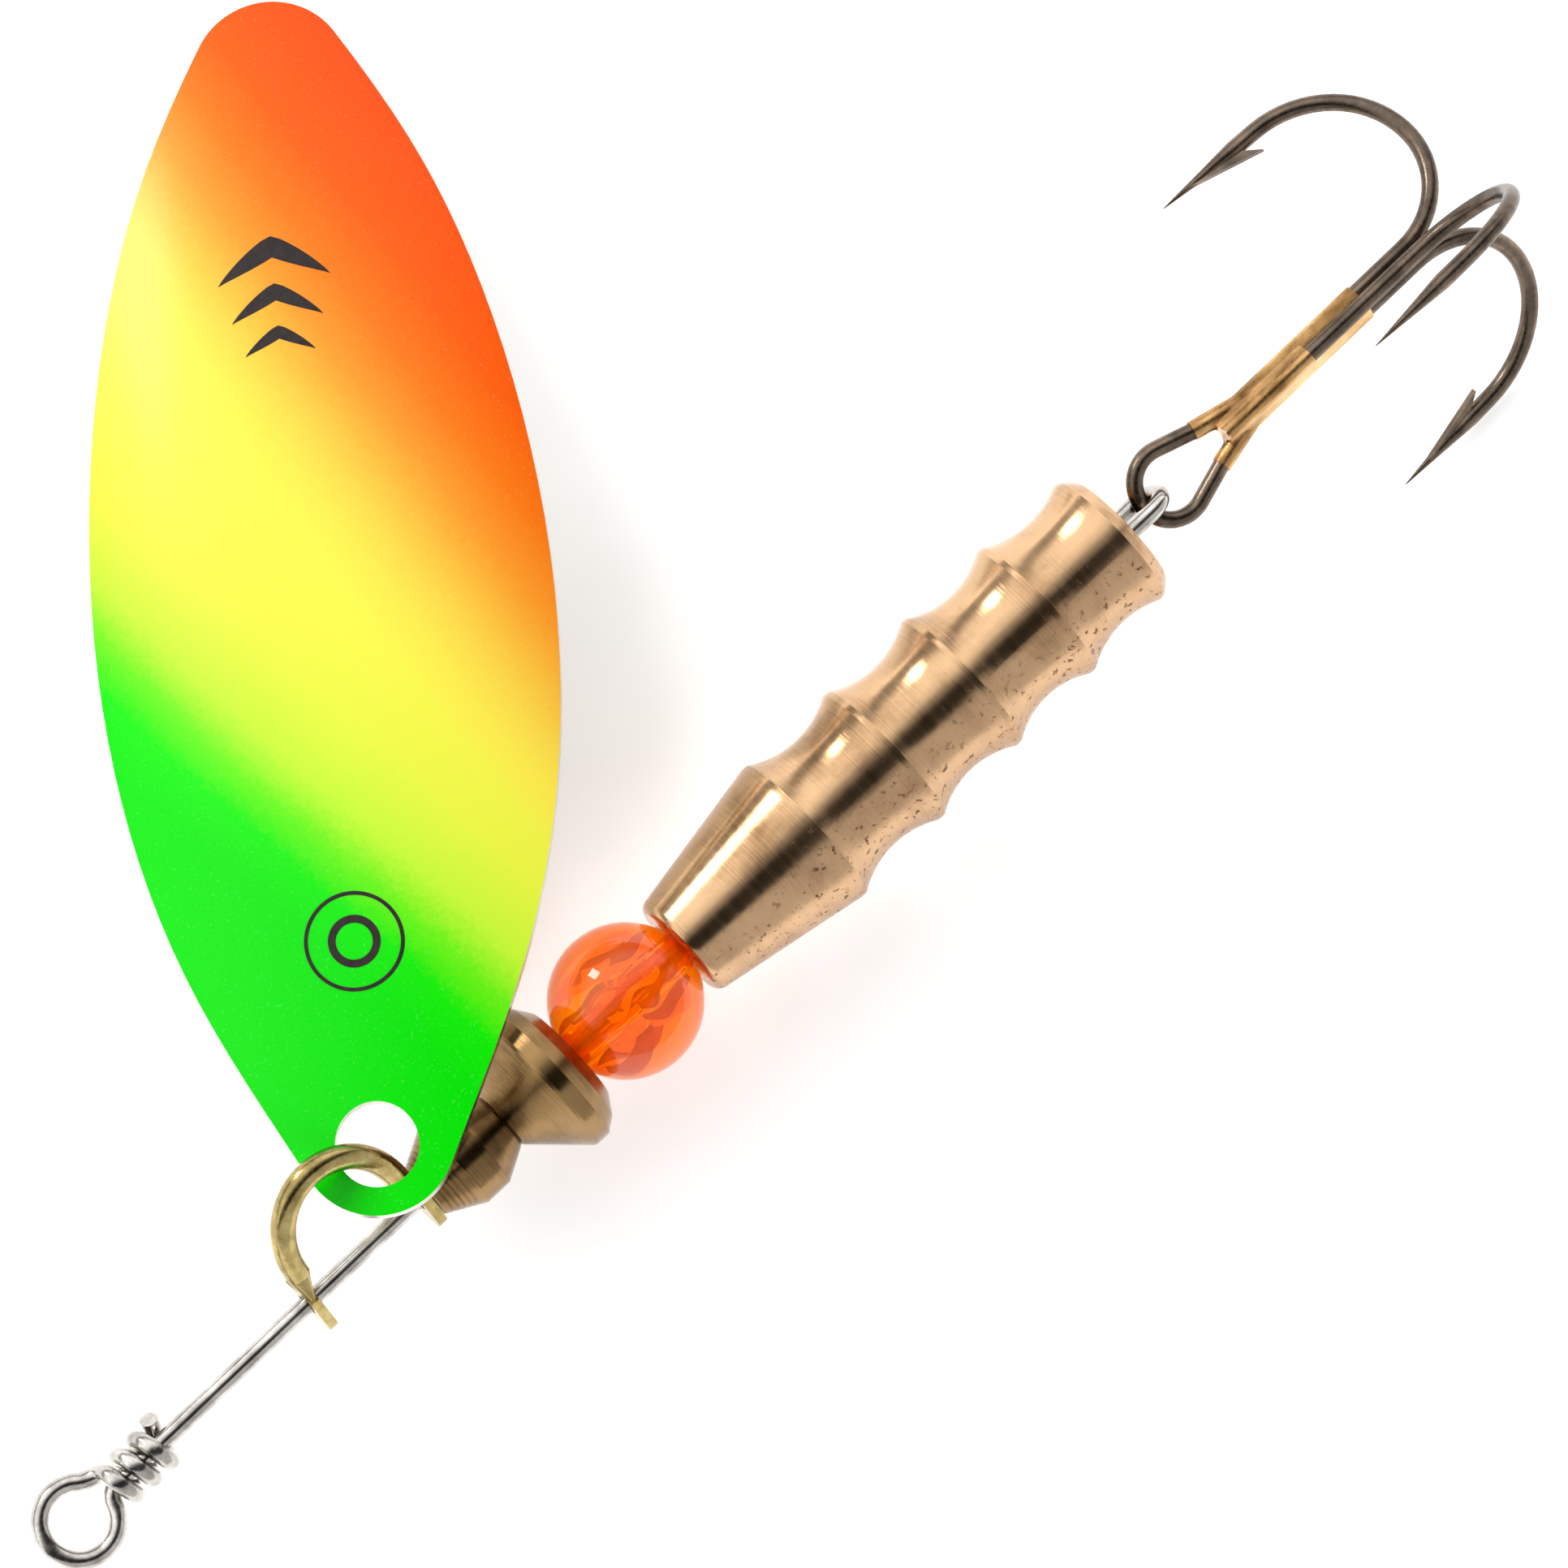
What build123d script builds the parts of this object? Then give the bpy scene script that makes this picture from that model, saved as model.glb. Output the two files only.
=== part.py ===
from build123d import *

import os
from math import atan2, cos, degrees, radians, sin, sqrt, tan

# An inline spinner: a treble-hooked fishing lure built along one bent steel wire.
#
# Frame, in millimetres: the origin is the centre of the line eye.
# +X runs along the wire from the line eye to the hook, +Y is the side that the blade
# stands out to, and +Z is up, square to the table that the lure lies on.
# Everything threaded on the wire turns about the X axis.

# ---------------------------------------------------------------- driving dimensions
WIRE_D = 0.72            # stainless shaft wire
EYE_MEAN_R = 1.47        # line eye, to the middle of the wire
EYE_NECK_R = 0.60        # bend from the straight shaft into the eye
EYE_LEAVE_DEG = 50.0     # place on the eye where the wire turns up over the shaft
WRAP_MEAN_R = 0.735      # barrel wraps, to the middle of the wire
WRAP_PITCH = 0.90
WRAP_START_X = 1.90
WRAP_START_DEG = -60.0   # turn about X from straight up, where the wraps begin
WRAP_END_DEG = 945.0     # nearly three turns later
WRAP_STUB = 0.65         # straight cut end after the last wrap

LOOP_APEX_X = 56.66      # outermost middle of the wire in the rear loop
LOOP_HALF = 0.84         # half the distance between the loop's two strands
LOOP_TILT_DEG = 22.0     # lean of the loop's plane from upright, towards -Y
LOOP_STRAIGHT_X = 51.5   # the main strand is parallel to the tag strand from here
STRAND_EASE_X = 45.0     # the main strand leaves the axis here
TAG_END_X = 47.0         # cut end of the tag strand, inside the body

CLEVIS_FRONT_X = 12.04   # middle of each flattened ear
CLEVIS_REAR_X = 17.74
CLEVIS_TURN_DEG = 47.0   # turn of the clevis about X, up from the blade's side
CLEVIS_WIRE_R = 0.50
CLEVIS_TOP_H = 5.15      # from the shaft's axis to the middle of the arch
CLEVIS_ARCH_H = 1.60     # where the arch springs from the ears
CLEVIS_WIRE_INSET = 0.26     # the round wire stands this much inside the ears
EAR_THICK = 0.40
EAR_HALF_WIDTH = 0.93
EAR_FLAT_H = 0.75        # the ear is fully flat below this height
EAR_DROP = 0.60          # centre of the ear's round end, beyond the shaft's axis
EAR_HOLE_R = 0.475

FRONT_BEARING_X = 17.98      # front face of each turned part
REAR_BEARING_X = 21.89
BEARING_BORE_R = 0.50
FRONT_BEARING_OUTLINE = (    # x from the front face, radius
    (0, 1.10),
    (0.06, 1.17),
    (1.50, 1.93),
    (2.62, 1.93),
    (3.82, 1.27),
    (3.88, 1.20),
)
RING_GROOVES = 5             # fine turned rings on the front cone
RING_GROOVE_R = 0.035
RING_FIRST_X = 0.30
RING_PITCH = 0.21
REAR_BEARING_OUTLINE = (
    (0, 1.20),
    (0.05, 1.27),
    (1.98, 3.12),
    (2.10, 3.19),
    (2.68, 3.19),
    (3.22, 2.80),
    (3.69, 2.12),
)
REAR_SEAT_R = 1.25           # countersink that the bead sits in
REAR_SEAT_DEPTH = 0.54

BEAD_R = 3.0
BEAD_X = 28.5                # middle of the bead
BEAD_BORE_R = 0.60
BEAD_BORE_CHAMFER = 0.12

BODY_X = 31.30               # front face of the weight
BODY_BORE_R = 0.50           # guide bore for the single strand, at the nose
BODY_REAR_BORE_R = 1.25      # wide bore for both strands, at the rear
BODY_REAR_BORE_DEPTH = 11.5
BODY_BORE_CONE = 0.75        # drill point at the bottom of the wide bore
BODY_REAR_CHAMFER = 0.15
BODY_SEAT_R = 1.30           # countersink that the bead sits in
BODY_SEAT_DEPTH = 0.55
NOSE_ROUND = ((0, 1.90), (0.12, 2.11), (0.42, 2.24))   # x from the front face, radius
RIB_LAND = 0.24
RIBS = ((6.45, 3.31), (10.65, 3.22), (14.74, 3.21), (18.70, 3.16))
WAISTS = ((8.79, 2.71), (12.82, 2.67), (16.90, 2.645), (20.93, 2.60))
REAR_RIM = ((22.60, 2.965), (22.80, 2.93), (23.10, 2.70), (23.28, 2.52))

BLADE_LENGTH = 47.9
BLADE_HALF_WIDTH = 8.80
BLADE_WIDEST = 21.4      # from the hole's centre
BLADE_THICK = 0.50
BLADE_HOLE_R = 1.595
BLADE_HOLE_TO_END = 2.65
BLADE_END_R = 3.0        # rounding of both ends
BLADE_NEAR_FLARE_DEG = 27    # spread of the edge as it leaves the hole end
BLADE_FAR_FLARE_DEG = -30    # closing of the edge where it meets the tip
BLADE_SIDE = ((7.1, 6.50), (BLADE_WIDEST, BLADE_HALF_WIDTH), (35.9, 6.34))
BLADE_LONG_R = 130.0     # crown along the blade
BLADE_CROSS_R = 20.5     # crown across the blade
BLADE_HOLE_AT = (17.67, 2.55, 2.97)
BLADE_HEADING_DEG = 52.87   # long axis, from +X towards +Y
BLADE_DIP_DEG = 0.8         # fall of the surface at the hole, towards the tip
BLADE_ROLL_DEG = 8.8        # rise of the edge that faces the hook

HOOK_WIRE_R = 0.34
HOOK_REST_X = 55.86      # middle of the eye's wire where it bears in the rear loop
HOOK_ROLL_DEG = 10.7     # about X
HOOK_DIP_DEG = 2.0       # fall of the shank towards the bends
HOOK_EYE_R = 1.40
HOOK_EYE_LEAVE_DEG = 72.8
HOOK_SHANK_PITCH_R = 0.415   # shank centres from the hook's own axis
HOOK_AXIS_Z = HOOK_SHANK_PITCH_R * sin(radians(30))   # the hook's axis above its eye's plane
SHANK_Y = HOOK_SHANK_PITCH_R * cos(radians(30))
SINGLE_Z = HOOK_AXIS_Z + HOOK_SHANK_PITCH_R
HOOK_NECK_R = 2.5
HOOK_BEND_X = 14.25      # start of the bends, from the eye's bearing point
HOOK_BEND_ARCS = ((3.50, 90.0), (4.00, 43.0), (4.35, 44.0))   # radius, turn
HOOK_POINT_X = 9.08
HOOK_POINT_LENGTH = 3.6
HOOK_POINT_OFFSET = 0.20     # the tip stands this far outside the wire's middle
HOOK_TIP_R = 0.02
BARB_THICK = 0.26
BARB_FRONT = (1.25, 0.08)    # from the point's tip: back, and outward of the wire
BARB_TIP = (0.75, -0.88)     # from the start of the point: back, and inward of the wire
BARB_ROOT = (-0.05, -0.16)
BARB_HEEL = (-0.40, 0.10)
SINGLE_START_X = 4.2         # cut end of the single wire, in the groove of the others
BRAZE_START_X = 5.0
BRAZE_END_X = 11.6
BRAZE_SKIN = 0.075           # over the two lower shanks
BRAZE_TOP_SKIN = 0.015       # along the flanks of the single wire
BRAZE_TOP_SINK = 0.12
BRAZE_CAP_SKIN = 0.05        # over the single wire, near the eye
BRAZE_CAP_START_X = 4.10
BRAZE_CAP_END_X = 8.6
BRAZE_LEG_SKIN = 0.055       # along the legs of the eye
BRAZE_LEG_START_X = 3.35
BRAZE_WEB_X = 3.95           # fillet in the throat of the eye
BRAZE_WEB_THICK = 0.48
BRAZE_THROAT_R = 0.40
BRAZE_THROAT_X = 3.79
BRAZE_THROAT_HEIGHT = 2.0    # cut right through the web
BRAZE_OVERLAP = 0.5          # of the leg runs into the shank run
BRAZE_GAP = 0.005


def polar(radius, angle_deg):
    """A point on a circle about the origin, in the plane of the eye."""
    return Vector(radius * cos(radians(angle_deg)), radius * sin(radians(angle_deg)), 0)


def round_wire(edges, radius):
    """Round wire along a run of edges that join smoothly end to end."""
    path = Wire(edges)
    start = Plane(origin=path @ 0, z_dir=path % 0)
    return sweep(start * Circle(radius), path=path)


def turned(outline):
    """A body turned about X from its (x, radius) outline, already closed."""
    return revolve(Plane.XY * make_face(outline), axis=Axis.X)


def save(solid, node):
    """Writes one node as a STEP file and prints its volume."""
    solid.label = node
    export_step(solid, f"parts/{node}.step")
    print(f"{node}: {solid.volume:.3f} mm3, {len(solid.solids())} solid(s), valid {solid.is_valid}")


# ---------------------------------------------------------------- shaft wire
def rear_loop_edges():
    """Tag strand, loop and main strand, as far forward as the shaft's axis."""
    lean = Vector(0, -sin(radians(LOOP_TILT_DEG)), cos(radians(LOOP_TILT_DEG)))
    forward = Vector(-1, 0, 0)
    centre = Vector(LOOP_APEX_X - LOOP_HALF, 0, 0)
    upper = lean * LOOP_HALF
    tag = Line(Vector(TAG_END_X, 0, 0) - upper, centre - upper)
    bend = ThreePointArc(centre - upper, Vector(LOOP_APEX_X, 0, 0), centre + upper)
    strand_end = Vector(LOOP_STRAIGHT_X, 0, 0) + upper
    strand = Line(centre + upper, strand_end)
    ease = Spline(strand_end, Vector(STRAND_EASE_X, 0, 0), tangents=(forward, forward))
    return [tag, bend, strand, ease]


def line_eye_edges():
    """Straight shaft, eye, and the wraps that lock the eye shut."""
    neck_x = sqrt(EYE_MEAN_R**2 + 2 * EYE_MEAN_R * EYE_NECK_R)
    neck_centre = Vector(neck_x, -EYE_NECK_R, 0)
    join_deg = degrees(atan2(neck_centre.Y, neck_centre.X))
    join = polar(EYE_MEAN_R, join_deg)
    half_turn = radians((join_deg + 90) / 2 + 90)
    neck_mid = neck_centre + Vector(cos(half_turn), sin(half_turn), 0) * EYE_NECK_R
    shaft = Line((STRAND_EASE_X, 0, 0), (neck_x, 0, 0))
    neck = ThreePointArc((neck_x, 0, 0), neck_mid, join)

    leave = polar(EYE_MEAN_R, EYE_LEAVE_DEG)
    ring_mid = polar(EYE_MEAN_R, (join_deg + EYE_LEAVE_DEG - 360) / 2)
    ring = ThreePointArc(join, ring_mid, leave)

    first = radians(WRAP_START_DEG)
    turns = (WRAP_END_DEG - WRAP_START_DEG) / 360
    wrap_plane = Plane(
        origin=(WRAP_START_X, 0, 0), x_dir=(0, -sin(first), cos(first)), z_dir=(1, 0, 0)
    )
    wraps = wrap_plane * Helix(WRAP_PITCH, WRAP_PITCH * turns, WRAP_MEAN_R)
    heading = polar(1, EYE_LEAVE_DEG - 90)
    cross_over = Spline(leave, wraps @ 0, tangents=(heading, wraps % 0))
    stub = Line(wraps @ 1, (wraps @ 1) + (wraps % 1) * WRAP_STUB)
    return [shaft, neck, ring, cross_over, wraps, stub]


def make_shaft_wire():
    return round_wire(rear_loop_edges() + line_eye_edges(), WIRE_D / 2)


# ---------------------------------------------------------------- clevis
def make_clevis():
    """A folded clevis: an arch of round wire with a flattened, drilled ear at each end.

    It is made upright over the shaft and then turned about X.
    """
    middle_x = (CLEVIS_FRONT_X + CLEVIS_REAR_X) / 2
    half_span = (CLEVIS_REAR_X - CLEVIS_FRONT_X) / 2 - CLEVIS_WIRE_INSET
    upright = Plane(origin=(middle_x, 0, CLEVIS_ARCH_H), x_dir=(1, 0, 0), z_dir=(0, -1, 0))
    rise = CLEVIS_TOP_H - CLEVIS_ARCH_H
    arch_path = upright * EllipticalCenterArc((0, 0), half_span, rise, arc_size=180)
    clevis = round_wire([arch_path], CLEVIS_WIRE_R)
    for ear_x, side in ((CLEVIS_FRONT_X, -1), (CLEVIS_REAR_X, 1)):
        spring = Plane(origin=(middle_x + side * half_span, 0, CLEVIS_ARCH_H))
        flat = Plane(origin=(ear_x, 0, EAR_FLAT_H))
        taper = loft([spring * Circle(CLEVIS_WIRE_R), flat * Ellipse(EAR_THICK / 2, EAR_HALF_WIDTH)])
        ear_side = Plane(origin=(ear_x - EAR_THICK / 2, 0, 0), x_dir=(0, 1, 0), z_dir=(1, 0, 0))
        plate_h = EAR_FLAT_H + EAR_DROP
        plate = Pos(0, (EAR_FLAT_H - EAR_DROP) / 2) * Rectangle(2 * EAR_HALF_WIDTH, plate_h)
        outline = plate + Pos(0, -EAR_DROP) * Circle(EAR_HALF_WIDTH) - Circle(EAR_HOLE_R)
        clevis += taper + extrude(ear_side * outline, amount=EAR_THICK)
    return Rot(-(90 - CLEVIS_TURN_DEG), 0, 0) * clevis


# ---------------------------------------------------------------- turned parts
def bored(outline, last_corners):
    """A turned part with the bearings' plain bore; its own corners close the rear."""
    points = [(0, BEARING_BORE_R), *outline, *last_corners]
    return turned(Polyline(*points, close=True))


def make_front_bearing():
    """Small double cone; its fine rings are cut on the front cone."""
    bearing = bored(FRONT_BEARING_OUTLINE, [(FRONT_BEARING_OUTLINE[-1][0], BEARING_BORE_R)])
    (cone_x, cone_r), (wide_x, wide_r) = FRONT_BEARING_OUTLINE[1:3]
    for ring in range(RING_GROOVES):
        ring_x = RING_FIRST_X + RING_PITCH * ring
        ring_r = cone_r + (wide_r - cone_r) * (ring_x - cone_x) / (wide_x - cone_x)
        bearing -= turned(Pos(ring_x, ring_r) * Edge.make_circle(RING_GROOVE_R))
    return Pos(FRONT_BEARING_X, 0, 0) * bearing


def make_rear_bearing():
    """Large cone with a polished band at its widest, and a seat for the bead."""
    rear_x = REAR_BEARING_OUTLINE[-1][0]
    seat = [(rear_x, REAR_SEAT_R), (rear_x - REAR_SEAT_DEPTH, BEARING_BORE_R)]
    return Pos(REAR_BEARING_X, 0, 0) * bored(REAR_BEARING_OUTLINE, seat)


def make_bead():
    """Ball with a through hole whose mouths are slightly countersunk."""
    mouth_r = BEAD_BORE_R + BEAD_BORE_CHAMFER
    mouth_x = sqrt(BEAD_R**2 - mouth_r**2)
    bore_x = mouth_x - BEAD_BORE_CHAMFER
    ball = ThreePointArc((-mouth_x, mouth_r), (0, BEAD_R), (mouth_x, mouth_r))
    bore = Polyline((mouth_x, mouth_r), (bore_x, BEAD_BORE_R), (-bore_x, BEAD_BORE_R), (-mouth_x, mouth_r))
    return Pos(BEAD_X, 0, 0) * turned(ball + bore)


def make_body():
    """Turned brass weight: a plain nose cone, then four hollow waists between ribs."""
    edges = [
        Line((0, BODY_SEAT_R), NOSE_ROUND[0]),
        ThreePointArc(*NOSE_ROUND),
        Line(NOSE_ROUND[-1], RIBS[0]),
    ]
    for rib, waist, following in zip(RIBS, WAISTS, RIBS[1:] + REAR_RIM[:1]):
        rib_end = (rib[0] + RIB_LAND, rib[1])
        edges.append(Line(rib, rib_end))
        edges.append(ThreePointArc(rib_end, waist, following))
    back_x = REAR_RIM[-1][0]
    wide_x = back_x - BODY_REAR_BORE_DEPTH
    corners = [
        *REAR_RIM,
        (back_x, BODY_REAR_BORE_R + BODY_REAR_CHAMFER),
        (back_x - BODY_REAR_CHAMFER, BODY_REAR_BORE_R),
        (wide_x, BODY_REAR_BORE_R),
        (wide_x - BODY_BORE_CONE, BODY_BORE_R),
        (BODY_SEAT_DEPTH, BODY_BORE_R),
        (0, BODY_SEAT_R),
    ]
    edges += [Line(a, b) for a, b in zip(corners, corners[1:])]
    return Pos(BODY_X, 0, 0) * turned(Wire(edges))


# ---------------------------------------------------------------- blade
def blade_plane():
    """The blade's own frame: origin at the hole, x to the tip, z out of the crowned face."""
    heading = radians(BLADE_HEADING_DEG)
    along = Vector(cos(heading), sin(heading), -tan(radians(BLADE_DIP_DEG)))
    right = Vector(sin(heading), -cos(heading), tan(radians(BLADE_ROLL_DEG)))
    return Plane(origin=BLADE_HOLE_AT, x_dir=along, z_dir=right.cross(along))


def blade_outline():
    """Long leaf with round ends, seen square to the blade; the hole is at the origin."""
    tip_x = BLADE_LENGTH - BLADE_HOLE_TO_END
    near = Vector(BLADE_END_R - BLADE_HOLE_TO_END, 0)
    far = Vector(tip_x - BLADE_END_R, 0)
    near_slope = radians(BLADE_NEAR_FLARE_DEG)
    far_slope = radians(BLADE_FAR_FLARE_DEG)
    near_join = near + Vector(-sin(near_slope), cos(near_slope)) * BLADE_END_R
    far_join = far + Vector(-sin(far_slope), cos(far_slope)) * BLADE_END_R
    side = Spline(
        near_join,
        *BLADE_SIDE,
        far_join,
        tangents=(
            Vector(cos(near_slope), sin(near_slope)),
            Vector(cos(far_slope), sin(far_slope)),
        ),
    )
    tip = ThreePointArc(far_join, Vector(tip_x, 0), (far_join.X, -far_join.Y))
    butt = ThreePointArc((near_join.X, -near_join.Y), (-BLADE_HOLE_TO_END, 0), near_join)
    other_side = mirror(side, about=Plane.XZ).edge()
    return make_face(Wire([side, tip, other_side, butt]))


def make_blade():
    """Sheet blade crowned both ways: a shell of a wide torus cut to the leaf outline."""
    crown_x = BLADE_WIDEST
    hole_drop = BLADE_LONG_R - sqrt(BLADE_LONG_R**2 - crown_x**2)
    outer = Circle(BLADE_CROSS_R) - Circle(BLADE_CROSS_R - BLADE_THICK)
    upper_part = outer & Pos(0, BLADE_CROSS_R) * Rectangle(2 * BLADE_CROSS_R, BLADE_CROSS_R)
    cross = Plane(origin=(crown_x, 0, hole_drop - BLADE_CROSS_R), x_dir=(0, 1, 0), z_dir=(1, 0, 0))
    axle = Axis((crown_x, 0, hole_drop - BLADE_LONG_R), (0, 1, 0))
    half_arc = 14
    shell = revolve(cross * upper_part, axis=axle, revolution_arc=2 * half_arc)
    shell = shell.rotate(axle, -half_arc)
    reach = 20
    leaf = Pos(0, 0, -reach) * extrude(blade_outline(), amount=2 * reach)
    hole = Pos(0, 0, -reach) * extrude(Plane.XY * Circle(BLADE_HOLE_R), amount=2 * reach)
    level = Rot(0, degrees(atan2(crown_x, BLADE_LONG_R)), 0) * ((shell & leaf) - hole)
    return blade_plane().location * level.solid().fix()


# ---------------------------------------------------------------- treble hook
def arm_edges(arm_deg):
    """Shank, bend and point wire of one arm, opening away from the hook's own axis."""
    outward = Vector(0, cos(radians(arm_deg)), sin(radians(arm_deg)))
    arm = Plane(origin=(0, 0, HOOK_AXIS_Z), x_dir=(1, 0, 0), z_dir=Vector(1, 0, 0).cross(outward))
    start = Vector(HOOK_BEND_X, HOOK_SHANK_PITCH_R)
    heading = 0.0
    edges = []
    for radius, turn in HOOK_BEND_ARCS:
        direction = (cos(radians(heading)), sin(radians(heading)))
        arc = JernArc(start, direction, radius, turn)
        edges.append(arc)
        start = arc @ 1
        heading += turn
    base_x = HOOK_POINT_X + HOOK_POINT_LENGTH
    fall = tan(radians(180 - heading))
    base = Vector(base_x, start.Y + (start.X - base_x) * fall)
    edges.append(Line(start, base))
    return [arm * edge for edge in edges], arm, base


def arm_point(arm, base, last_edge):
    """Needle point with one raised barb on the side that faces the shank."""
    along = last_edge % 1
    outer = Plane(origin=last_edge @ 1, x_dir=arm.z_dir, z_dir=along)
    tip_at = Vector(HOOK_POINT_X, base.Y + HOOK_POINT_OFFSET)
    tip = Plane(origin=arm.from_local_coords(tip_at), x_dir=arm.z_dir, z_dir=along)
    needle = loft([outer * Circle(HOOK_WIRE_R), tip * Circle(HOOK_TIP_R)])
    front = (HOOK_POINT_X + BARB_FRONT[0], base.Y + BARB_FRONT[1])
    rest = [(base.X + x, base.Y + y) for x, y in (BARB_TIP, BARB_ROOT, BARB_HEEL)]
    sliver = make_face(Polyline(front, *rest, close=True))
    barb = extrude(arm * sliver, amount=BARB_THICK / 2, both=True)
    return needle + barb


def eye_half():
    """Points of one side of the hook's eye: ring end, corner with the shank line."""
    leave = radians(HOOK_EYE_LEAVE_DEG)
    ring_end = Vector(HOOK_EYE_R * (1 + cos(leave)), HOOK_EYE_R * sin(leave))
    corner_x = ring_end.X + (ring_end.Y - SHANK_Y) * tan(leave)
    return ring_end, Vector(corner_x, SHANK_Y)


def leg_edges(side):
    """Shank leg from the bend's start to the eye's ring, on the +1 or -1 side."""
    ring_end, corner = eye_half()
    points = [Vector(HOOK_BEND_X, SHANK_Y), corner, ring_end]
    return FilletPolyline(*[Vector(p.X, p.Y * side) for p in points], radius=HOOK_NECK_R).edges()


def eye_path():
    """One run through both legs and the eye's ring between them."""
    ring_end, _ = eye_half()
    ring = ThreePointArc(ring_end, (0, 0), (ring_end.X, -ring_end.Y))
    return leg_edges(1) + [ring] + leg_edges(-1)


def single_shank():
    """Straight shank of the third wire."""
    return Line((SINGLE_START_X, 0, SINGLE_Z), (HOOK_BEND_X, 0, SINGLE_Z))


def make_double_hook():
    """One wire: first point, bend, shank, eye, shank, bend, second point."""
    left_arm, left_plane, left_base = arm_edges(-30)
    right_arm, right_plane, right_base = arm_edges(210)
    hook = round_wire(left_arm + eye_path() + right_arm, HOOK_WIRE_R)
    hook += arm_point(left_plane, left_base, left_arm[-1])
    return hook + arm_point(right_plane, right_base, right_arm[-1])


def make_single_hook():
    """The third wire, laid in the groove between the other two shanks."""
    arm, plane, base = arm_edges(90)
    hook = round_wire([single_shank()] + arm, HOOK_WIRE_R)
    return hook + arm_point(plane, base, arm[-1])


def leg_line_y(x):
    """Middle of the eye's leg at x, before it is rounded into the shank."""
    ring_end, corner = eye_half()
    return corner.Y + (corner.X - x) * (ring_end.Y - corner.Y) / (corner.X - ring_end.X)


def make_braze():
    """Brass run round the shanks and into the throat of the eye."""
    skin_r = HOOK_WIRE_R + BRAZE_SKIN
    top = Pos(0, SINGLE_Z - BRAZE_TOP_SINK) * Circle(HOOK_WIRE_R + BRAZE_TOP_SKIN)
    lower = [Pos(y, 0) * Circle(skin_r) for y in (SHANK_Y, -SHANK_Y)]
    across = Plane(origin=(BRAZE_START_X, 0, 0), x_dir=(0, 1, 0), z_dir=(1, 0, 0))
    run = BRAZE_END_X - BRAZE_START_X
    braze = extrude(across * make_hull((lower[0] + lower[1] + top).edges()), amount=run)
    crown = Pos(0, SINGLE_Z) * Circle(HOOK_WIRE_R + BRAZE_CAP_SKIN)
    feet = [Pos(y, 0) * Circle(HOOK_WIRE_R) for y in (SHANK_Y, -SHANK_Y)]
    cap_at = Plane(origin=(BRAZE_CAP_START_X, 0, 0), x_dir=(0, 1, 0), z_dir=(1, 0, 0))
    cap = make_hull((feet[0] + feet[1] + crown).edges())
    braze += extrude(cap_at * cap, amount=BRAZE_CAP_END_X - BRAZE_CAP_START_X)
    for side in (1, -1):
        near = Vector(BRAZE_LEG_START_X, side * leg_line_y(BRAZE_LEG_START_X), 0)
        far = Vector(BRAZE_START_X + BRAZE_OVERLAP, side * SHANK_Y, 0)
        leg = Plane(origin=near, z_dir=far - near) * Circle(HOOK_WIRE_R + BRAZE_LEG_SKIN)
        braze += extrude(leg, amount=(far - near).length)
    near = Vector(BRAZE_WEB_X, leg_line_y(BRAZE_WEB_X))
    far = Vector(BRAZE_START_X + BRAZE_OVERLAP / 2, SHANK_Y)
    web = Polyline(near, far, (far.X, -far.Y), (near.X, -near.Y), close=True)
    braze += extrude(make_face(web), amount=BRAZE_WEB_THICK / 2, both=True)
    braze -= Pos(BRAZE_THROAT_X, 0, 0) * Cylinder(BRAZE_THROAT_R, BRAZE_THROAT_HEIGHT)
    return braze - braze_core(across, run) - eye_clearance()


def braze_core(across, run):
    """Empty space enclosed by the three shanks, which the brass doesn't reach."""
    centres = make_face(Polyline((SHANK_Y, 0), (-SHANK_Y, 0), (0, SINGLE_Z), close=True))
    return extrude(across * centres, amount=run)


def eye_clearance():
    """The hook's three shanks, a hair larger, to cut the braze with."""
    radius = HOOK_WIRE_R + BRAZE_GAP
    return round_wire(eye_path(), radius) + round_wire([single_shank()], radius)


def hook_placed(shape):
    """Moves a hook piece from the hook's own frame to the rear loop."""
    return Pos(HOOK_REST_X, 0, 0) * Rot(0, HOOK_DIP_DEG, 0) * Rot(HOOK_ROLL_DEG, 0, 0) * shape


# ---------------------------------------------------------------- build
os.makedirs("parts", exist_ok=True)
save(make_shaft_wire(), "shaft_wire")
save(make_clevis(), "clevis")
save(make_blade(), "blade")
save(make_front_bearing(), "front_bearing")
save(make_rear_bearing(), "rear_bearing")
save(make_bead(), "bead")
save(make_body(), "weight_body")
save(hook_placed(make_double_hook()), "double_hook")
save(hook_placed(make_single_hook()), "single_hook")
save(hook_placed(make_braze()), "hook_braze")
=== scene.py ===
import math
import random

import bmesh
import bpy
from mathutils import Matrix, Vector
from mathutils.bvhtree import BVHTree


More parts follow.
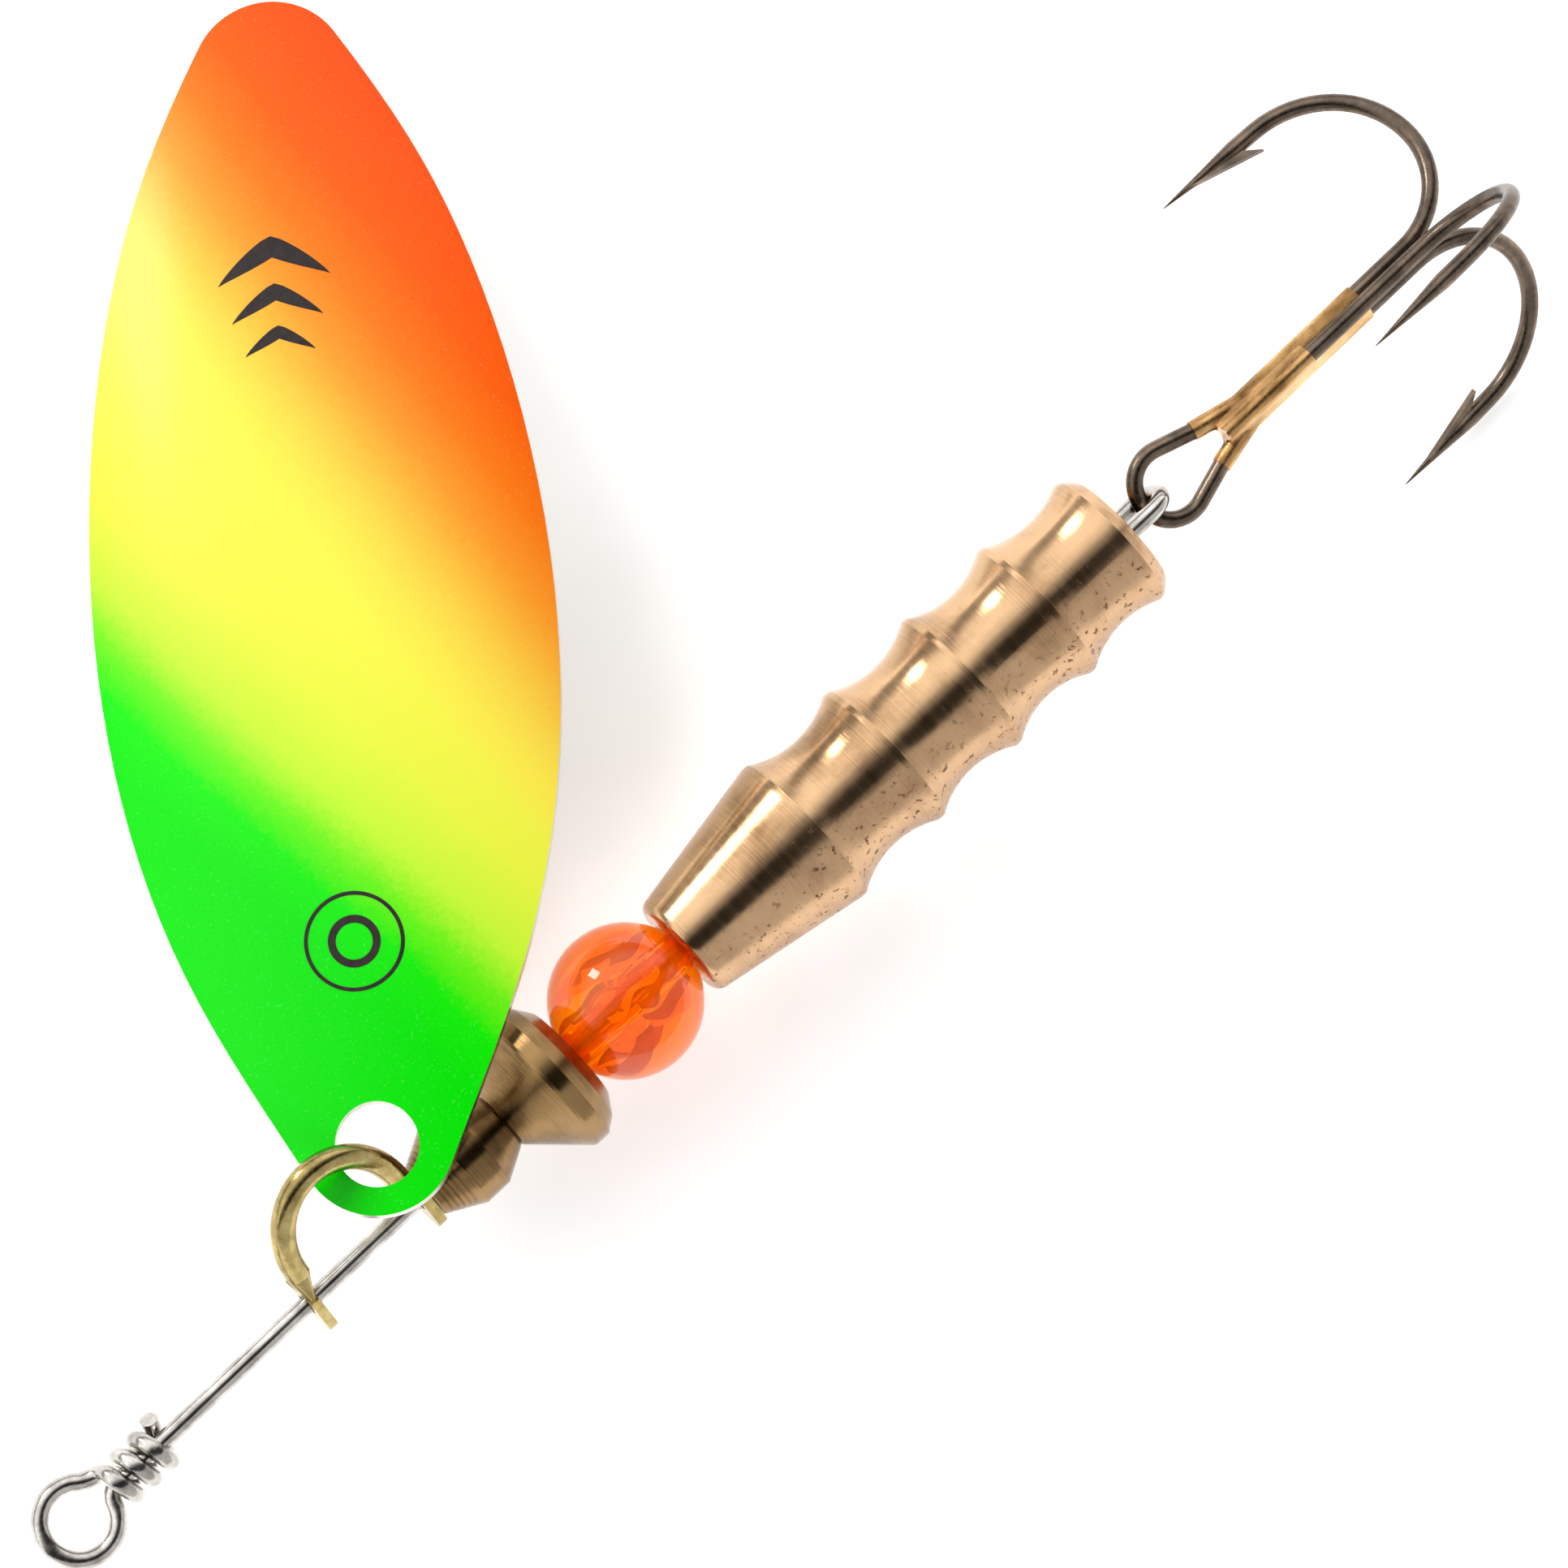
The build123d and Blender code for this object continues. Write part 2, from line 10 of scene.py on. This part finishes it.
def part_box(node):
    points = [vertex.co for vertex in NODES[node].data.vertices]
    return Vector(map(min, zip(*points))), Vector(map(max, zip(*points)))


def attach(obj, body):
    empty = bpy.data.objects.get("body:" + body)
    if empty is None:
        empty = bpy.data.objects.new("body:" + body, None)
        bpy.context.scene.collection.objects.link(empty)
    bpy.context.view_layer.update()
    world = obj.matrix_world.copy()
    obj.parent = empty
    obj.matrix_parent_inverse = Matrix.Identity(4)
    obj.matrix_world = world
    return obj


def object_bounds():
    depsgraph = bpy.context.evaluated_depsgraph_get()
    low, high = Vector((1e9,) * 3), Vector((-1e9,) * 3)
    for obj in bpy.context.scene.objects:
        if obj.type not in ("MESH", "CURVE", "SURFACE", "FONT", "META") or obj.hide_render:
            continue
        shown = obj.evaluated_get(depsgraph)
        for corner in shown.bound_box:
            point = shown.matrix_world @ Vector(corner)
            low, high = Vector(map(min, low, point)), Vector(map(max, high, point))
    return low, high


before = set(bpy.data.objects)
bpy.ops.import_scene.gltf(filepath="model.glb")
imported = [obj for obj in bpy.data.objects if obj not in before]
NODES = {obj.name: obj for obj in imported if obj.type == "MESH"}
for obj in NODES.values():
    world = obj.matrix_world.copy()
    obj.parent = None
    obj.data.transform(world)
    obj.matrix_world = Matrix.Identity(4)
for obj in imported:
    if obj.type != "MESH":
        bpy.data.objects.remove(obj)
cad_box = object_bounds()
MM = 0.001
scene = bpy.context.scene

# ------------------------------------------------------------------ node helpers


class Shader:
    """A new material and short ways to add nodes to it."""

    def __init__(self, name):
        self.material = bpy.data.materials.new(name)
        self.material.use_nodes = True
        self.tree = self.material.node_tree
        self.bsdf = next(n for n in self.tree.nodes if n.type == "BSDF_PRINCIPLED")
        coordinates = self.tree.nodes.new("ShaderNodeTexCoord")
        self.place = coordinates.outputs["Object"]

    def link(self, source, target):
        self.tree.links.new(source, target)

    def plug(self, value, socket):
        if isinstance(value, bpy.types.NodeSocket):
            self.link(value, socket)
        else:
            socket.default_value = value

    def math(self, operation, a, b=0.0):
        node = self.tree.nodes.new("ShaderNodeMath")
        node.operation = operation
        self.plug(a, node.inputs[0])
        self.plug(b, node.inputs[1])
        return node.outputs[0]

    def along(self, direction, origin=(0, 0, 0)):
        """Distance from origin along a direction, in millimetres."""
        move = self.tree.nodes.new("ShaderNodeVectorMath")
        move.operation = "SUBTRACT"
        self.link(self.place, move.inputs[0])
        move.inputs[1].default_value = origin
        dot = self.tree.nodes.new("ShaderNodeVectorMath")
        dot.operation = "DOT_PRODUCT"
        self.link(move.outputs[0], dot.inputs[0])
        dot.inputs[1].default_value = [d / MM for d in direction]
        return dot.outputs["Value"]

    def combine(self, x, y, z):
        node = self.tree.nodes.new("ShaderNodeCombineXYZ")
        for value, socket in zip((x, y, z), node.inputs):
            self.plug(value, socket)
        return node.outputs[0]

    def noise(self, scale, detail=3.0, rough=0.5, vector=None, stretch=(1, 1, 1)):
        """Noise over the object; scale is in cells per millimetre."""
        mapping = self.tree.nodes.new("ShaderNodeMapping")
        self.link(self.place if vector is None else vector, mapping.inputs["Vector"])
        unit = scale / MM if vector is None else scale
        mapping.inputs["Scale"].default_value = [unit * s for s in stretch]
        node = self.tree.nodes.new("ShaderNodeTexNoise")
        node.inputs["Scale"].default_value = 1.0
        node.inputs["Detail"].default_value = detail
        node.inputs["Roughness"].default_value = rough
        self.link(mapping.outputs[0], node.inputs["Vector"])
        return node.outputs["Fac"]

    def ramp(self, value, stops):
        node = self.tree.nodes.new("ShaderNodeValToRGB")
        node.color_ramp.interpolation = "LINEAR"
        elements = node.color_ramp.elements
        while len(elements) < len(stops):
            elements.new(0.5)
        for element, (position, colour) in zip(elements, stops):
            element.position = position
            element.color = (*colour, 1.0)
        self.plug(value, node.inputs[0])
        return node.outputs["Color"]

    def span(self, value, low, high, to_low=0.0, to_high=1.0):
        node = self.tree.nodes.new("ShaderNodeMapRange")
        node.clamp = True
        self.plug(value, node.inputs["Value"])
        node.inputs["From Min"].default_value = low
        node.inputs["From Max"].default_value = high
        node.inputs["To Min"].default_value = to_low
        node.inputs["To Max"].default_value = to_high
        return node.outputs["Result"]

    def mix(self, factor, a, b):
        node = self.tree.nodes.new("ShaderNodeMix")
        node.data_type = "RGBA"
        self.plug(factor, node.inputs["Factor"])
        for value, name in ((a, "A"), (b, "B")):
            socket = next(s for s in node.inputs if s.name == name and s.type == "RGBA")
            self.plug(value if isinstance(value, bpy.types.NodeSocket) else (*value, 1.0), socket)
        return next(s for s in node.outputs if s.type == "RGBA")

    def bump(self, height, depth_mm, strength=1.0):
        node = self.tree.nodes.new("ShaderNodeBump")
        node.inputs["Strength"].default_value = strength
        node.inputs["Distance"].default_value = depth_mm * MM
        self.link(height, node.inputs["Height"])
        self.link(node.outputs["Normal"], self.bsdf.inputs["Normal"])

    def set(self, **values):
        for name, value in values.items():
            self.plug(value, self.bsdf.inputs[name.replace("_", " ")])


def linear(red, green, blue):
    """A colour given on the usual 0 to 255 screen scale."""
    screen = [channel / 255 for channel in (red, green, blue)]
    return tuple(((c + 0.055) / 1.055) ** 2.4 if c > 0.0393 else c / 12.92 for c in screen)


# ------------------------------------------------------------------ blade frame
HOLE_AT = Vector((17.67, 2.55, 2.97)) * MM
HEADING = math.radians(52.87)
ALONG = Vector((math.cos(HEADING), math.sin(HEADING), -math.tan(math.radians(0.8)))).normalized()
RIGHT = Vector((math.sin(HEADING), -math.cos(HEADING), math.tan(math.radians(8.8))))
FACE = RIGHT.cross(ALONG).normalized()
SIDE = ALONG.cross(FACE).normalized()


# ------------------------------------------------------------------ materials
def steel_wire():
    s = Shader("stainless_wire")
    drawn = s.noise(9.0, 2.0, 0.6, stretch=(0.06, 1, 1))
    fine = s.noise(1.2, 4.0, 0.6)
    s.set(
        Base_Color=s.ramp(
            fine,
            [(0.3, linear(158, 152, 146)), (0.5, linear(190, 185, 179)), (0.7, linear(214, 210, 205))],
        ),
        Metallic=1.0,
        Roughness=s.span(drawn, 0.3, 0.7, 0.12, 0.24),
    )
    s.bump(drawn, 0.006, 0.5)
    return s.material


def clevis_brass():
    s = Shader("pale_brass")
    worn = s.noise(0.9, 5.0, 0.6)
    scratch = s.noise(6.0, 3.0, 0.6, stretch=(1, 0.25, 0.25))
    s.set(
        Base_Color=s.ramp(
            worn,
            [(0.30, linear(132, 114, 66)), (0.55, linear(182, 162, 106)), (0.8, linear(218, 200, 144))],
        ),
        Metallic=1.0,
        Roughness=s.span(scratch, 0.3, 0.7, 0.16, 0.30),
    )
    s.bump(scratch, 0.008, 0.5)
    return s.material


def turned_brass(name, dark, light, specks_and_sheen, ring_depth):
    """Lathe-turned brass: rings follow the axis; dark specks and a painted reflection, a pale pinkish
    haze standing in for the fill light, gather on the -Y side, lower right in the view.
    """
    s = Shader(name)
    x = s.along((1, 0, 0))
    coarse = s.noise(1.0, 2.0, 0.5, vector=s.combine(s.math("MULTIPLY", x, 3.0), 0.0, 0.0))
    rings = s.noise(1.0, 4.0, 0.75, vector=s.combine(s.math("MULTIPLY", x, 14.0), 0.0, 0.0))
    cloud = s.noise(0.35, 4.0, 0.6)
    tone = s.math("ADD", s.math("MULTIPLY", rings, 0.35), s.math("MULTIPLY", cloud, 0.65))
    clean = s.ramp(tone, [(0.34, dark), (0.52, light), (0.68, tuple(min(1, c * 1.12) for c in light))])
    specks = s.span(s.noise(3.4, 3.0, 0.65), 0.59, 0.68)
    # Mask for the -Y side, lower right in the view, where the dark specks and the painted reflection
    # gather.
    away = s.math("ADD", s.math("MULTIPLY", s.along((0, -1, 0)), 0.30), 0.30)
    patch = s.span(s.math("ADD", away, s.noise(0.22, 3.0, 0.6)), 0.75, 1.35)
    spotted = s.math("MULTIPLY", s.math("MULTIPLY", specks, patch), specks_and_sheen)
    # The haze is a painted reflection of the fill light on that side.
    painted_sheen = s.math("MULTIPLY", patch, 0.35 * specks_and_sheen)
    with_painted_sheen = s.mix(painted_sheen, clean, linear(196, 158, 128))
    specks_and_sheen_roughness = s.math("MULTIPLY", s.math("ADD", spotted, painted_sheen), 0.30)
    s.set(
        Base_Color=s.mix(spotted, with_painted_sheen, linear(118, 84, 58)),
        Metallic=1.0,
        Roughness=s.math("ADD", s.span(coarse, 0.3, 0.7, 0.13, 0.21), specks_and_sheen_roughness),
    )
    s.bump(rings, ring_depth)
    return s.material


def bead_plastic():
    s = Shader("orange_bead")
    flow = s.noise(0.55, 3.0, 0.6, stretch=(0.35, 1, 1))
    s.set(
        Base_Color=s.ramp(
            flow,
            [(0.3, linear(232, 108, 0)), (0.55, linear(238, 128, 0)), (0.75, linear(244, 150, 0))],
        ),
        Metallic=0.0,
        Roughness=0.03,
        IOR=1.46,
        Specular_IOR_Level=0.3,
        Transmission_Weight=0.80,
        Coat_Weight=0.15,
        Coat_Roughness=0.02,
        # The emission is a painted glow; the bead is no lamp.
        Emission_Color=(*linear(255, 92, 0), 1.0),
        Emission_Strength=0.10,
    )
    s.bump(s.noise(0.45, 2.0, 0.5), 0.03, 0.4)
    return s.material


def bead_streak(name, low, high, painted_glow):
    """Flow lines moulded into the bead, which also give off a painted glow."""
    s = Shader(name)
    flow = s.noise(1.6, 3.0, 0.6, stretch=(0.3, 1, 1))
    s.set(
        Base_Color=s.ramp(flow, [(0.35, low), (0.65, high)]),
        Roughness=0.25,
        Transmission_Weight=0.35,
        IOR=1.2,
        # The emission is a painted glow; the flow lines are no lamp.
        Emission_Color=(*high, 1.0),
        Emission_Strength=painted_glow,
    )
    return s.material


def hook_wire():
    s = Shader("dark_bronze_wire")
    cloud = s.noise(0.7, 5.0, 0.65)
    grain = s.noise(7.0, 3.0, 0.6)
    s.set(
        Base_Color=s.ramp(
            cloud,
            [(0.3, linear(74, 64, 56)), (0.55, linear(112, 98, 86)), (0.8, linear(150, 128, 108))],
        ),
        Metallic=1.0,
        Roughness=s.span(grain, 0.3, 0.7, 0.20, 0.36),
    )
    s.bump(grain, 0.006, 0.6)
    return s.material


def braze_brass():
    s = Shader("hard_solder")
    flow = s.noise(0.8, 4.0, 0.6, stretch=(0.4, 1, 1))
    pits = s.noise(3.4, 4.0, 0.7)
    s.set(
        Base_Color=s.ramp(
            flow,
            [(0.32, linear(136, 100, 60)), (0.5, linear(205, 160, 104)), (0.72, linear(240, 208, 156))],
        ),
        Metallic=1.0,
        Roughness=s.span(pits, 0.3, 0.7, 0.22, 0.42),
    )
    s.bump(s.math("ADD", flow, s.math("MULTIPLY", pits, 0.3)), 0.05, 0.7)
    return s.material


PAINT_LEVEL = 0.74      # darkens the paint, because the studio light is bright
GREEN_SPAN = (0, 30)    # stretch of each fade, in mm from the hole, slanting across the blade
RED_SPAN = (20, 60)


def paint(red, green, blue):
    return tuple(PAINT_LEVEL * channel for channel in linear(red, green, blue))


def spread(span, *stops):
    """Stops given in mm along a fade, as places on a ramp that covers its span."""
    low, high = span
    return [((at - low) / (high - low), colour) for at, colour in stops]


def blade_paint():
    """Airbrushed fade from green through yellow to red, under a clear coat."""
    s = Shader("blade_paint")
    u = s.along(ALONG, HOLE_AT)
    v = s.along(SIDE, HOLE_AT)
    wander = s.math("MULTIPLY", s.math("SUBTRACT", s.noise(0.09, 2.0, 0.5), 0.5), 2.0)
    spray = s.math("MULTIPLY", s.math("SUBTRACT", s.noise(4.0, 2.0, 0.8), 0.5), 1.5)
    loose = s.math("ADD", s.math("ADD", u, wander), spray)
    green_side = s.span(s.math("ADD", loose, s.math("MULTIPLY", v, 1.13)), *GREEN_SPAN)
    red_side = s.span(s.math("ADD", loose, s.math("MULTIPLY", v, 1.6)), *RED_SPAN)
    green_fade = s.ramp(
        green_side,
        spread(
            GREEN_SPAN,
            (6.0, paint(0, 228, 0)),
            (8.7, paint(16, 236, 0)),
            (10.8, paint(110, 242, 20)),
            (13.0, paint(198, 248, 56)),
            (17.0, paint(238, 247, 70)),
            (23.0, paint(255, 246, 80)),
        ),
    )
    red_fade = s.ramp(
        red_side,
        spread(
            RED_SPAN,
            (25.0, paint(255, 236, 78)),
            (27.5, paint(255, 218, 74)),
            (30.0, paint(255, 192, 60)),
            (32.8, paint(255, 158, 42)),
            (36.4, paint(255, 124, 16)),
            (40.5, paint(255, 96, 0)),
            (48.0, paint(255, 78, 0)),
        ),
    )
    colour = s.mix(s.span(red_side, 0.06, 0.12), green_fade, red_fade)
    flakes = s.span(s.noise(9.0, 1.0, 0.5), 0.64, 0.74, 0.0, 0.03)
    s.set(
        Base_Color=s.mix(flakes, colour, (1.0, 1.0, 0.9)),
        Roughness=0.38,
        Specular_IOR_Level=0.06,
        Coat_Weight=0.24,
        Coat_Roughness=0.20,
        Coat_IOR=1.5,
    )
    s.bump(s.noise(0.9, 3.0, 0.6), 0.010, 0.4)
    return s.material


def bare_plate():
    s = Shader("plated_back")
    lines = s.noise(5.0, 3.0, 0.7, stretch=(1, 1, 1))
    cloud = s.noise(0.2, 4.0, 0.6)
    s.set(
        Base_Color=s.ramp(cloud, [(0.3, linear(178, 174, 160)), (0.7, linear(222, 218, 204))]),
        Metallic=1.0,
        Roughness=s.span(lines, 0.3, 0.7, 0.16, 0.28),
    )
    s.bump(lines, 0.004, 0.5)
    return s.material


def black_print():
    s = Shader("black_print")
    wear = s.noise(2.6, 4.0, 0.7)
    s.set(
        Base_Color=s.ramp(wear, [(0.3, linear(30, 26, 26)), (0.75, linear(52, 44, 42))]),
        Roughness=s.span(wear, 0.3, 0.7, 0.42, 0.6),
        Specular_IOR_Level=0.2,
    )
    s.bump(wear, 0.006, 0.6)
    return s.material


def floor_paper():
    s = Shader("white_paper")
    fibre = s.noise(0.4, 4.0, 0.6)
    s.set(Base_Color=s.ramp(fibre, [(0.2, (0.93, 0.93, 0.93)), (0.8, (0.97, 0.97, 0.97))]), Roughness=0.9)
    s.set(Emission_Color=(1.0, 1.0, 1.0, 1.0), Emission_Strength=0.32)
    s.bump(fibre, 0.02, 0.2)
    return s.material


def paint_node(name, material):
    mesh = NODES[name].data
    mesh.materials.clear()
    mesh.materials.append(material)


# The fourth number scales the dark specks and the painted reflection on the -Y side.
TURNED = turned_brass("bearing_brass", linear(84, 62, 38), linear(146, 116, 76), 0.25, 0.012)
WEIGHT = turned_brass("weight_brass", linear(152, 116, 82), linear(206, 168, 128), 1.0, 0.007)
HOOK = hook_wire()
paint_node("shaft_wire", steel_wire())
paint_node("clevis", clevis_brass())
paint_node("front_bearing", TURNED)
paint_node("rear_bearing", TURNED)
paint_node("weight_body", WEIGHT)
paint_node("bead", bead_plastic())
paint_node("double_hook", HOOK)
paint_node("single_hook", HOOK)
paint_node("hook_braze", braze_brass())
paint_node("blade", blade_paint())
BARE = bare_plate()
PAINTED_LIMIT = 0.55    # paint covers what faces out of the crown at least this squarely
NODES["blade"].data.materials.append(BARE)
for polygon in NODES["blade"].data.polygons:
    if polygon.normal.dot(FACE) < PAINTED_LIMIT:
        polygon.material_index = 1


# ------------------------------------------------------------------ prints on the blade
def blade_tree():
    mesh = bmesh.new()
    mesh.from_mesh(NODES["blade"].data)
    tree = BVHTree.FromBMesh(mesh)
    mesh.free()
    return tree


BLADE_TREE = blade_tree()
INK_LIFT = 0.012 * MM


def on_blade(u, v):
    """Point just above the crowned face, at u along the blade and v to its side, in mm."""
    start = HOLE_AT + ALONG * (u * MM) + SIDE * (v * MM) + FACE * (10 * MM)
    hit, normal, _, _ = BLADE_TREE.ray_cast(start, -FACE)
    return hit + normal * INK_LIFT


def ribbon(name, centre_line, widths, material, closed=False):
    """A flat printed line lying on the blade, from its middle line and widths in mm."""
    mesh = bmesh.new()
    count = len(centre_line)
    rows = []
    for i, (u, v) in enumerate(centre_line):
        before = centre_line[(i - 1) % count if closed else max(i - 1, 0)]
        after = centre_line[(i + 1) % count if closed else min(i + 1, count - 1)]
        heading = Vector((after[0] - before[0], after[1] - before[1])).normalized()
        normal = Vector((-heading.y, heading.x)) * widths[i] / 2
        rows.append(
            [mesh.verts.new(on_blade(u + normal.x * k, v + normal.y * k)) for k in (-1, 0, 1)]
        )
    pairs = list(zip(rows, rows[1:] + rows[:1])) if closed else list(zip(rows, rows[1:]))
    for a, b in pairs:
        for k in (0, 1):
            mesh.faces.new((a[k], a[k + 1], b[k + 1], b[k]))
    return finished(name, mesh, material, "blade_body")


def finished(name, mesh, material, body):
    data = bpy.data.meshes.new(name)
    bmesh.ops.recalc_face_normals(mesh, faces=mesh.faces)
    mesh.to_mesh(data)
    mesh.free()
    for polygon in data.polygons:
        polygon.use_smooth = True
    data.materials.append(material)
    piece = bpy.data.objects.new(name, data)
    scene.collection.objects.link(piece)
    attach(piece, body)
    return piece


def arc(centre, radius, start_deg, end_deg, steps):
    return [
        (
            centre[0] + radius * math.cos(math.radians(start_deg + (end_deg - start_deg) * k / steps)),
            centre[1] + radius * math.sin(math.radians(start_deg + (end_deg - start_deg) * k / steps)),
        )
        for k in range(steps + 1)
    ]


INK = black_print()
RING_AT = (7.7, 0.0)
ring = arc(RING_AT, 1.83, 0, 360, 72)[:-1]
ribbon("outer_ring", ring, [0.15] * len(ring), INK, closed=True)

# A plain second ring inside the first.
INNER_RING_R = 0.85
inner = arc(RING_AT, INNER_RING_R, 0, 360, 48)[:-1]
ribbon("inner_ring", inner, [0.30] * len(inner), INK, closed=True)

# Three plain chevrons of falling size, pointing to the tip.
MARK_AT = (31.9, -0.5)
CHEVRONS = ((1.55, 2.15, 0.78), (0.0, 1.75, 0.62), (-1.35, 1.35, 0.48))   # rise, half span, weight
for number, (rise, half_span, weight) in enumerate(CHEVRONS):
    fold = [
        (MARK_AT[0] + rise + 0.62 * half_span * (1 - abs(k) / 12) ** 0.9, MARK_AT[1] + half_span * k / 12)
        for k in range(-12, 13)
    ]
    widths = [weight * (1.02 - (abs(k) / 12) ** 1.8) for k in range(-12, 13)]
    ribbon(f"chevron_{number + 1}", fold, widths, INK)

# ------------------------------------------------------------------ flow lines inside the bead
bead_low, bead_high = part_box("bead")
BEAD_AT = (bead_low + bead_high) / 2
chance = random.Random(11)


def flow_line(name, start_x, length, radius, spread, turn_deg, twist_deg, material):
    """A thin wavy leaf along the bore, from radius outwards; every number is in mm or degrees."""
    steps, rows = 14, []
    mesh = bmesh.new()
    for k in range(steps + 1):
        share = k / steps
        angle = math.radians(turn_deg + twist_deg * share + 6 * math.sin(9 * share))
        fade = math.sin(math.pi * (0.04 + 0.92 * share)) ** 0.7
        row = []
        for side in (0.0, 0.5, 1.0):
            r = radius + 0.12 * math.sin(7 * share + turn_deg) + spread * fade * side
            turned = angle + 0.2 * side
            offset = (start_x + length * share, r * math.cos(turned), r * math.sin(turned))
            row.append(mesh.verts.new(BEAD_AT + Vector(offset) * MM))
        rows.append(row)
    for a, b in zip(rows, rows[1:]):
        for j in (0, 1):
            mesh.faces.new((a[j], a[j + 1], b[j + 1], b[j]))
    piece = finished(name, mesh, material, "ball")
    leaf = piece.modifiers.new("leaf", "SOLIDIFY")
    leaf.thickness = 0.035 * MM
    leaf.offset = 0
    return piece


# The last number of each is the strength of its painted glow.
PALE_FLOW = bead_streak("pale_flow_line", linear(255, 130, 0), linear(255, 182, 40), 0.26)
DARK_FLOW = bead_streak("dark_flow_line", linear(204, 98, 0), linear(236, 124, 0), 0.10)
for number in range(20):
    start = chance.uniform(-2.0, 0.1)
    flow_line(
        f"bead_flow_{number + 1:02d}",
        start,
        chance.uniform(1.2, min(2.9, 1.9 - start)),
        chance.uniform(0.78, 1.15),
        chance.uniform(0.25, 0.75),
        18 * number + chance.uniform(-7, 7),
        chance.uniform(-25, 25),
        PALE_FLOW if number % 2 else DARK_FLOW,
    )

# ------------------------------------------------------------------ stage
low = cad_box[0]
floor_mesh = bmesh.new()
bmesh.ops.create_grid(floor_mesh, x_segments=8, y_segments=8, size=0.6)
floor_data = bpy.data.meshes.new("paper_floor")
floor_mesh.to_mesh(floor_data)
floor_mesh.free()
floor_data.materials.append(floor_paper())
floor = bpy.data.objects.new("paper_floor", floor_data)
floor.location = (0.039, 0.002, low.z - 0.0001)
scene.collection.objects.link(floor)

CENTRE = Vector((38.57, 1.82, 0)) * MM
TILT = math.radians(7.2)
BACK = Vector((-math.sin(TILT), 0, math.cos(TILT)))
UP_HINT = Vector((0.692, 0.722, 0))
RIGHT_OF_VIEW = UP_HINT.cross(BACK).normalized()
UP_OF_VIEW = BACK.cross(RIGHT_OF_VIEW)
FIELD = 59.4 * MM
DISTANCE = 0.55
camera_data = bpy.data.cameras.new("camera")
camera_data.sensor_width = 36
camera_data.lens = 36 * DISTANCE / FIELD
camera_data.clip_start = 0.01
camera = bpy.data.objects.new("camera", camera_data)
turn = Matrix((RIGHT_OF_VIEW, UP_OF_VIEW, BACK)).transposed().to_4x4()
camera.matrix_world = Matrix.Translation(CENTRE + BACK * DISTANCE) @ turn
scene.collection.objects.link(camera)
scene.camera = camera


def softbox(name, at, size, power, glossy):
    """A square area light, placed in view terms: right, up and towards the camera, in metres."""
    data = bpy.data.lights.new(name, "AREA")
    data.shape = "RECTANGLE"
    data.size, data.size_y = size
    data.energy = power
    lamp = bpy.data.objects.new(name, data)
    place = CENTRE + RIGHT_OF_VIEW * at[0] + UP_OF_VIEW * at[1] + BACK * at[2]
    lamp.location = place
    lamp.rotation_euler = (CENTRE - place).to_track_quat("-Z", "Y").to_euler()
    lamp.visible_glossy = glossy
    scene.collection.objects.link(lamp)


softbox("key", (-0.40, 0.34, 0.34), (0.30, 0.34), 2.4, False)
softbox("window", (-0.29, 0.24, 0.19), (0.08, 0.11), 0.42, True)
softbox("rim", (0.42, -0.26, 0.20), (0.30, 0.30), 1.6, False)


def studio_world():
    """White room whose ceiling is dark over the object, so that bright metal has contrast."""
    world = bpy.data.worlds.new("studio")
    world.use_nodes = True
    tree = world.node_tree
    direction = tree.nodes.new("ShaderNodeTexCoord").outputs["Generated"]
    split = tree.nodes.new("ShaderNodeSeparateXYZ")
    tree.links.new(direction, split.inputs[0])
    angle = tree.nodes.new("ShaderNodeMath")
    angle.operation = "ARCTAN2"
    tree.links.new(split.outputs["Y"], angle.inputs[0])
    tree.links.new(split.outputs["Z"], angle.inputs[1])
    turn = tree.nodes.new("ShaderNodeMapRange")
    turn.inputs["From Min"].default_value = -math.pi
    turn.inputs["From Max"].default_value = math.pi
    tree.links.new(angle.outputs[0], turn.inputs["Value"])
    ramp = tree.nodes.new("ShaderNodeValToRGB")
    ramp.color_ramp.interpolation = "EASE"
    levels = (
        (-180, 0.80), (-112, 0.42), (-92, 0.72), (-32, 0.70), (-25, 0.03), (-1, 0.03),
        (9, 0.36), (22, 1.15), (36, 1.50), (58, 1.40), (78, 0.42), (104, 0.55), (180, 0.80),
    )
    elements = ramp.color_ramp.elements
    while len(elements) < len(levels):
        elements.new(0.5)
    for element, (degrees, level) in zip(elements, levels):
        element.position = (degrees + 180) / 360
        element.color = (level / 1.5, level / 1.5, level / 1.5, 1)
    tree.links.new(turn.outputs["Result"], ramp.inputs[0])
    background = tree.nodes["Background"]
    tree.links.new(ramp.outputs["Color"], background.inputs["Color"])
    background.inputs["Strength"].default_value = 1.6
    return world


scene.world = studio_world()
scene.view_settings.view_transform = "Standard"
